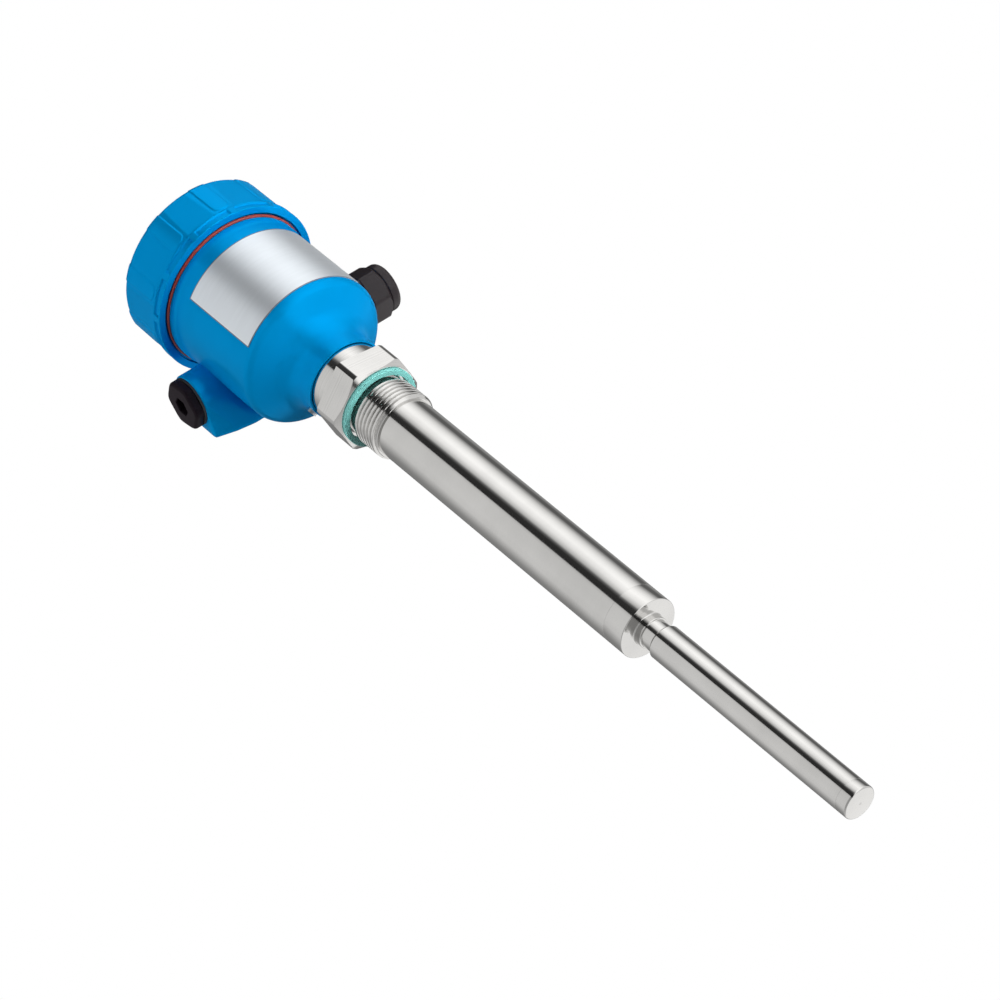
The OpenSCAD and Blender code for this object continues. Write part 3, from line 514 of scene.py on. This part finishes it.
def capMesh(s):
    angles = circleAngles(s["around"])
    topRadius = s["radius"] - s["draft"]
    split = s["landLow"] + s["lowReach"]  # finer rows below it, for the slots and the ends of the lands
    side = np.concatenate([np.linspace(s["low"] + s["rimEdge"], split, s["lowRows"]),
                           np.linspace(split + s["rowGap"], s["top"] - s["edge"], s["highRows"])])
    slope = s["radius"] - s["draft"] * (side - s["low"]) / (s["top"] - s["low"])
    quarter = np.linspace(0, np.pi / 2, s["edgeRows"])
    # rounded rim below and rounded edge above, each a quarter circle
    rim = np.stack([s["radius"] - s["rimEdge"] + s["rimEdge"] * np.sin(quarter),
                    s["low"] + s["rimEdge"] - s["rimEdge"] * np.cos(quarter)], 1)[:-1]
    crown = np.stack([topRadius - s["edge"] + s["edge"] * np.cos(quarter),
                      s["top"] - s["edge"] + s["edge"] * np.sin(quarter)], 1)[1:]
    outer = np.vstack([rim, np.stack([slope, side], 1), crown])
    radii = capRadii(s, angles, outer[:, 1], outer[:, 0])
    lid = np.linspace(1, 0, s["lidRows"])[1:]
    # the inside is a plain turned hollow
    hollow = roundProfile([(0, s["ceiling"]), (s["bore"], s["ceiling"], s["ceilingEdge"]),
                           (s["bore"], s["recessTop"], s["boreEdge"]),
                           (s["recess"], s["recessTop"], s["recessEdge"]),
                           (s["recess"], s["low"])], False)
    allRadii = np.vstack([radii, lid[:, None] * radii[-1:], hollow[:, :1] * np.ones(len(angles))])
    heights = np.concatenate([outer[:, 1], np.full(len(lid), s["top"]), hollow[:, 1]])
    return gridMesh("capShell", turnedPoints(heights, allRadii, angles), weld=True, sharpAngle=40)


# copy of a solid with new corner normals: at each corner the sum of the normals of the faces around its
# point that lie within an angle of its own face, each weighted by area and by the angle of its corner
def smoothCopy(name, node, reach):
    work = bmesh.new()
    work.from_mesh(nodes[node].data)
    work.transform(nodes[node].matrix_world)
    same = 2e-6  # points closer than this are one point
    bmesh.ops.remove_doubles(work, verts=work.verts, dist=same)
    bmesh.ops.dissolve_degenerate(work, edges=work.edges, dist=same)
    bmesh.ops.triangulate(work, faces=work.faces)
    mesh = bpy.data.meshes.new(name)
    work.to_mesh(mesh)
    work.free()
    points = np.empty(3 * len(mesh.vertices), np.float32)
    mesh.vertices.foreach_get("co", points)
    corners = np.empty(len(mesh.loops), np.int32)
    mesh.loops.foreach_get("vertex_index", corners)
    triangle = points.reshape(-1, 3).astype(float)[corners.reshape(-1, 3)]
    ahead = np.roll(triangle, -1, 1) - triangle
    behind = np.roll(triangle, 1, 1) - triangle
    cross = np.cross(ahead, behind)
    area = np.linalg.norm(cross, axis=2)
    angle = np.arctan2(area, np.einsum("ijk,ijk->ij", ahead, behind))
    normal = (cross / np.maximum(area, 1e-18)[..., None]).reshape(-1, 3)
    weight = (area * angle).ravel()
    # all pairs of corners that share a point
    order = np.argsort(corners, kind="stable")
    starts = np.searchsorted(corners[order], np.arange(len(mesh.vertices)))
    counts = np.diff(np.append(starts, len(corners)))
    sharing = counts[corners[order]]  # how many corners meet at each corner's point
    first = np.repeat(order, sharing)
    offset = np.arange(len(first)) - np.repeat(np.cumsum(sharing) - sharing, sharing)
    second = order[np.repeat(starts[corners[order]], sharing) + offset]
    near = np.einsum("ij,ij->i", normal[first], normal[second]) > math.cos(math.radians(reach))
    total = np.zeros_like(normal)
    np.add.at(total, first[near], normal[second[near]] * weight[second[near], None])
    total /= np.maximum(np.linalg.norm(total, axis=1), 1e-18)[:, None]
    mesh.shade_smooth()
    mesh.normals_split_custom_set(total.tolist())
    return mesh


# sealing ring of the cap: a torus, its section a circle; mm
capRing = {"radius": 37.65, "section": 0.8, "lowered": 0.25, "around": 240, "sectionSteps": 20}
housingReach = 50  # degrees within which the casting's faces share their normals


def capRingMesh(s):
    low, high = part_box("cap_seal")
    height = (low.z + high.z) / 2 / mm - s["lowered"]
    section = circleAngles(s["sectionSteps"])
    heights = height + s["section"] * np.sin(section)
    radii = s["radius"] + s["section"] * np.cos(section)
    return gridMesh("capRingRound", turnedPoints(heights, radii, circleAngles(s["around"])))


redFinish = mouldedFinish("redRubber", (0.34, 0.045, 0.035), 0.40, 900, 1e-5, 1.2)
addPiece("cap_ring_round", capRingMesh(capRing), redFinish, "cap_ring", "cap_seal")
housingMesh = smoothCopy("housingCast", "housing", housingReach)
addPiece("housing_cast", housingMesh, coatFinish, "head", "housing")
addPiece("cap_shell", capMesh(capShape), coatFinish, "cap", "cap")
print("cap shaped")

# gland nut and blind plug: hexagons around the entries' axis, in mm from the head's axis
entryAxis = (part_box("gland_nut")[0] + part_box("gland_nut")[1]) / 2
glandFinish = mouldedFinish("glandMoulding", (0.017, 0.0125, 0.0145), 0.34, 700, 2.5e-5, 1.5,
                            Specular_IOR_Level=0.28)
# the blind plug: the gland's black plastic painted darker and less shiny, as painted shade on the plug
shadedPlugFinish = mouldedFinish("plugMouldingShaded", (0.010, 0.0065, 0.010), 0.45, 700, 2.5e-5, 1.5,
                           Specular_IOR_Level=0.06)
glandShape = {"acrossFlats": 24.0, "turn": 35.0, "start": 50.9, "hexEnd": 61.1, "end": 66.7, "corner": 13.4,
              "cornerBlend": 0.4, "chamferDrop": 0.4, "chamferReach": 2.4, "dome": 11.88, "domeRound": 3.0,
              "domeLead": 0.5, "domeInset": 0.4, "domeEdge": 0.3, "mouth": 7.6, "mouthEdge": 0.5,
              "sleeve": 10.4, "sleeveEnd": 61.3, "edge": 0.5, "around": 360, "chamferRows": 14,
              "edgeRows": 6, "domeSteps": 10}
plugShape = {"acrossFlats": 22.3, "turn": 10.0, "start": 46.7, "end": 51.3, "limit": 12.0, "chamfer": 1.8,
             "limitBlend": 0.8, "edge": 0.5, "stub": 9.92, "stubEnd": 36.7, "stubEdge": 0.8, "socket": 8.0,
             "socketWall": [(0.35, 0), (0.05, 0.3), (0, 0.8)],  # how much wider, at which depth
             "socketDepth": 3.6, "floorShares": [0.96, 0.5, 0], "around": 360, "chamferRows": 8,
             "edgeRows": 6}


# hexagon with a turned end chamfer, then a round dome whose rim is a quarter circle
def glandNutMesh(s):
    angles = circleAngles(s["around"])
    spread = np.ones(len(angles))
    flats = hexRadius(angles, s["acrossFlats"], s["turn"])
    hexagon = softMin(flats, s["corner"] * spread, s["cornerBlend"])
    start = np.linspace(0, 1, s["edgeRows"])
    lead = s["edge"] * (1 - np.sqrt(1 - (1 - start) ** 2))
    rise = np.linspace(s["hexEnd"] - s["chamferReach"], s["hexEnd"], s["chamferRows"])
    tool = s["acrossFlats"] / 2 - s["chamferDrop"] + (s["hexEnd"] - rise)
    head = np.minimum(hexagon[None], tool[:, None])
    outside = roundProfile([(s["dome"] - s["domeInset"], s["hexEnd"]),
                            (s["dome"], s["hexEnd"] + s["domeLead"], s["domeEdge"]),
                            (s["dome"], s["end"], s["domeRound"]), (s["mouth"], s["end"], s["mouthEdge"]),
                            (s["mouth"], s["sleeveEnd"]), (s["sleeve"], s["sleeveEnd"]),
                            (s["sleeve"], s["start"])], False, s["domeSteps"])
    radii = np.vstack([hexagon[None] - lead[:, None], head, outside[:, :1] * spread])
    heights = np.concatenate([s["start"] + s["edge"] * start, rise, outside[:, 1]])
    points = turnedPoints(heights, radii, angles)
    return gridMesh("glandNutShell", alongEntry(points, 1, entryAxis), sharpAngle=40)


# hexagonal head with rounded corners, narrowing to its face, a key socket in it and a round stub behind
def blindPlugMesh(s):
    angles = circleAngles(s["around"])
    spread = np.ones(len(angles))
    flats = hexRadius(angles, s["acrossFlats"], s["turn"])
    hexagon = softMin(flats, s["limit"] * spread, s["limitBlend"])
    start = np.linspace(0, 1, s["edgeRows"])
    lead = s["edge"] * (1 - np.sqrt(1 - (1 - start) ** 2))
    # the head narrows towards its face by a quarter circle
    bevel = np.linspace(0, np.pi / 2, s["chamferRows"])
    faceHeights = s["end"] - s["chamfer"] + s["chamfer"] * np.sin(bevel)
    face = hexagon[None] - s["chamfer"] * (1 - np.cos(bevel))[:, None]
    # the socket widens at its mouth and has a flat floor
    key = hexRadius(angles, s["socket"], 0)
    wider, deep = np.array(s["socketWall"]).T
    shares = np.array(s["floorShares"])
    socket = np.vstack([key + wider[:, None], key * shares[:, None]])
    socketHeights = s["end"] - np.append(deep, np.full(len(shares), s["socketDepth"]))
    stub = roundProfile([(0, s["stubEnd"]), (s["stub"], s["stubEnd"], s["stubEdge"]),
                         (s["stub"], s["start"])], False)
    radii = np.vstack([stub[:, :1] * spread, hexagon[None] - lead[:, None], face, socket])
    heights = np.concatenate([stub[:, 1], s["start"] + s["edge"] * start, faceHeights, socketHeights])
    points = alongEntry(turnedPoints(heights, radii, angles), -1, entryAxis)
    return gridMesh("blindPlugHead", points, closeRows=False, weld=True, sharpAngle=40)


glandNut, blindPlug = glandNutMesh(glandShape), blindPlugMesh(plugShape)
addPiece("gland_nut_shell", glandNut, glandFinish, "gland_nut", "gland_nut")
addPiece("blind_plug_head", blindPlug, shadedPlugFinish, "blind_plug", "blind_plug")
print("gland nut and blind plug shaped")


# finishes of the solids that are shown as they are
def dressSolids():
    blackRubber = mouldedFinish("blackRubber", (0.018, 0.018, 0.018), 0.62, 1200, 2e-5, 1.5)
    steelSetup = {**turnedSteel, "base": (0.56, 0.56, 0.56), "roughness": 0.3}
    brassSetup = {**turnedSteel, "base": (0.72, 0.50, 0.20), "roughness": 0.28}
    plainSteel = turnedSteelFinish("plainSteel", steelSetup)
    brass = turnedSteelFinish("brassParts", brassSetup)
    greyPlastic = mouldedFinish("greyMoulding", (0.56, 0.57, 0.57), 0.42, 900, 1.5e-5, 1.06)
    whitePlastic = mouldedFinish("whiteMoulding", (0.80, 0.80, 0.77), 0.35, 900, 1e-5, 1.05)
    dress = {
        coatFinish: ["housing_mouth"],
        plateFoilFinish(plateFoil): ["type_plate"],
        glandFinish: ["gland_body", "sensor_plug"],
        blackRubber: ["gland_seal", "gland_insert", "plug_seal", "swivel_seals"],
        plainSteel: ["lock_screw", "inner_rod", "tension_bolt", "tension_nut", "pressure_washer",
                     "retaining_ring", "module_screws", "terminal_screws", "earth_clamp", "earth_screw"],
        brass: ["electrodes", "ground_washer", "ground_screw"],
        greyPlastic: ["module_base", "module_cover"],
        whitePlastic: ["mode_slider", "trim_knob"],
        mouldedFinish("ceramicRings", (0.74, 0.71, 0.62), 0.5, 1500, 1e-5, 1.06): ["insulator_rings"],
        mouldedFinish("piezoCeramic", (0.38, 0.31, 0.22), 0.5, 1500, 1e-5, 1.12): ["piezo_discs"],
        mouldedFinish("leadSleeve", (0.48, 0.035, 0.03), 0.4, 1500, 1e-5, 1.1): ["drive_leads"],
        mouldedFinish("potting", (0.035, 0.042, 0.042), 0.55, 500, 4e-5, 1.4): ["feed_through"],
        mouldedFinish("boardLaminate", (0.015, 0.13, 0.045), 0.35, 1600, 1e-5, 1.3): ["circuit_board"],
        mouldedFinish("relayCase", (0.62, 0.24, 0.04), 0.3, 800, 1e-5, 1.1): ["relay"],
        mouldedFinish("terminalPlastic", (0.05, 0.30, 0.12), 0.42, 900, 2e-5, 1.15): ["terminal_block"],
        mouldedFinish("switchPlastic", (0.38, 0.03, 0.03), 0.35, 900, 1e-5, 1.15): ["mode_switch"],
        mouldedFinish("trimmerPlastic", (0.04, 0.11, 0.42), 0.35, 900, 1e-5, 1.15): ["trim_base"],
        mouldedFinish("lampPlastic", (0.10, 0.55, 0.10), 0.15, 900, 5e-6, 1.1): ["lamp_lens"],
    }
    for material, names in dress.items():
        for name in names:
            nodes[name].data.materials.clear()
            nodes[name].data.materials.append(material)


dressSolids()
print("solids dressed")

# studio: bands of light all round, graded along their azimuth, and panels that fill; degrees and metres
studio = {
    "radius": 3.0,
    "bandElevation": (-5, 55),
    "bandLevels": [  # azimuth, level: a bright key at the right, a dark gap, an even fill at the left
        (-290, 0.20), (-250, 0.31), (-238, 0.40), (-225, 0.55), (-213, 0.70), (-205, 0.80), (-179, 0.85),
        (-131, 0.80), (-126, 0.74), (-121.5, 0.66), (-120, 0.03), (-102, 0.04), (-95, 0.17), (-89, 0.67),
        (-82, 0.93), (-74, 1.19), (-55, 1.46), (-44, 1.36), (-35, 1.19), (-25, 0.93), (-15, 0.55),
        (-3, 0.15), (12, 0.14), (33, 0.35), (60, 0.25), (70, 0.20),
    ],
    "bandTint": (1.0, 0.995, 0.985),
    "fillLevels": [  # the same band as dull surfaces feel it
        (-290, 0.60), (-240, 0.60), (-200, 0.46), (-130, 0.38), (-100, 0.15), (-60, 0.15), (-20, 0.32),
        (30, 0.60), (70, 0.60),
    ],
    "lowElevation": (-86, -5),
    "lowLevels": [  # the same below the horizon, seen only in shiny surfaces
        (-300, 1.15), (-262, 1.15), (-250, 0.75), (-230, 0.60), (-200, 0.45), (-140, 0.42), (-126, 0.36),
        (-122, 0.03), (-102, 0.03), (-92, 0.50), (-78, 1.40), (-46, 1.40), (-28, 0.90), (4, 0.85),
        (24, 0.90), (30, 1.15), (60, 1.15),
    ],
    "panels": {  # fills that only light dull surfaces
        "frontRight": {"azimuth": (-80, -16), "elevation": (-54, -20), "level": 6.5},
        "sideLeft": {"azimuth": (-230, -150), "elevation": (-5, 35), "level": 2.0},
        "front": {"azimuth": (-114, -80), "elevation": (-60, -25), "level": 1.3},
        "overhead": {"azimuth": (-180, 180), "elevation": (66, 88), "level": 2.6},
    },
    "surround": 0.03,
    "floorHeight": -2.4,
    "floorRadius": 9.0,
    "floorAround": 96,
    "floorRings": 12,
    "floorGlow": 0.92,
    "floorShades": (0.945, 0.955),
    "floorCloudsPerMetre": 1.5,
    "panelSteps": 13,
    "bandStep": 3.0,
}


# a patch of a sphere: azimuth along one parameter, elevation along the other
def panelMesh(name, azimuths, elevation, s):
    turn, rise = np.meshgrid(np.radians(azimuths), np.radians(np.linspace(*elevation, s["panelSteps"])))
    points = np.stack([np.cos(rise) * np.cos(turn), np.cos(rise) * np.sin(turn), np.sin(rise)], -1)
    return gridMesh(name, s["radius"] * points, closeRows=False, closeColumns=False)


# gives a mesh a light of its own, as strong as its "level" attribute
def addLight(name, mesh, levels, tint, dull, shiny):
    attribute = mesh.attributes.new("level", "FLOAT", "POINT")
    attribute.data.foreach_set("value", levels.astype(np.float32).ravel())
    material = bpy.data.materials.new(name)
    material.use_nodes = True
    tree = material.node_tree
    tree.nodes.clear()
    level = Wire(tree).make("ShaderNodeAttribute", {"attribute_name": "level"}, output="Fac")
    glow = level.make("ShaderNodeEmission", None, {"Color": colour(tint), "Strength": level})
    target = tree.nodes.new("ShaderNodeOutputMaterial")
    tree.links.new(glow.socket, target.inputs["Surface"])
    mesh.materials.append(material)
    light = bpy.data.objects.new(name, mesh)
    bpy.context.scene.collection.objects.link(light)
    light.visible_camera = False
    light.visible_shadow = False
    light.visible_diffuse = dull
    light.visible_glossy = shiny


# a band all round, its level read off the list along its azimuth
def addBand(name, stops, elevation, s, dull=False, shiny=False):
    places, levels = np.array(stops).T
    turn = np.unique(np.concatenate([places, np.arange(places[0], places[-1], s["bandStep"])]))
    graded = np.tile(np.interp(turn, places, levels), (s["panelSteps"], 1))
    addLight(name, panelMesh(name, turn, elevation, s), graded, s["bandTint"], dull, shiny)


def buildStudio(s):
    addBand("softBand", s["bandLevels"], s["bandElevation"], s, shiny=True)
    addBand("fillBand", s["fillLevels"], s["bandElevation"], s, dull=True)
    addBand("lowBand", s["lowLevels"], s["lowElevation"], s, shiny=True)
    steps = s["panelSteps"]
    for name, panel in s["panels"].items():
        mesh = panelMesh(name, np.linspace(*panel["azimuth"], steps), panel["elevation"], s)
        addLight(name, mesh, np.full((steps, steps), panel["level"]), (1, 1, 1), dull=True, shiny=False)
    angles = circleAngles(s["floorAround"])
    rings = np.linspace(0, s["floorRadius"], s["floorRings"])[:, None]
    x, y = rings * np.cos(angles), rings * np.sin(angles)
    disc = np.stack([x, y, np.full(x.shape, s["floorHeight"])], -1)
    floor = bpy.data.objects.new("floor", gridMesh("floor", disc, closeRows=False, weld=True))
    bpy.context.scene.collection.objects.link(floor)
    # the floor only glows, because light from so many panels on it would be slow to render
    finish = Finish("paleFloor", Base_Color=grey(0.0), Specular_IOR_Level=0.0,
                    Emission_Strength=s["floorGlow"])
    shades = [grey(level) for level in s["floorShades"]]
    clouds = finish.noise(s["floorCloudsPerMetre"]).fade(0.3, 0.7)
    finish.feed("Emission Color", clouds.colours(*shades))
    floor.data.materials.append(finish.material)
    floor.visible_diffuse = False  # it casts no light on the undersides
    floor.visible_glossy = False


# world: white to the camera, dim grey to everything else
def buildWorld(level):
    world = bpy.data.worlds.new("studioWorld")
    world.use_nodes = True
    tree = world.node_tree
    tree.nodes.clear()
    wire = Wire(tree)
    seen = wire.make("ShaderNodeLightPath", output="Is Camera Ray")
    dim = wire.make("ShaderNodeBackground", None, {"Color": grey(1.0), "Strength": level})
    white = wire.make("ShaderNodeBackground", None, {"Color": grey(1.0), "Strength": 1.0})
    mixed = wire.make("ShaderNodeMixShader", None, {0: seen, 1: dim, 2: white})
    target = tree.nodes.new("ShaderNodeOutputWorld")
    tree.links.new(mixed.socket, target.inputs["Surface"])
    bpy.context.scene.world = world


buildStudio(studio)
buildWorld(studio["surround"])
bpy.context.scene.view_settings.view_transform = "Standard"
print("studio lit")
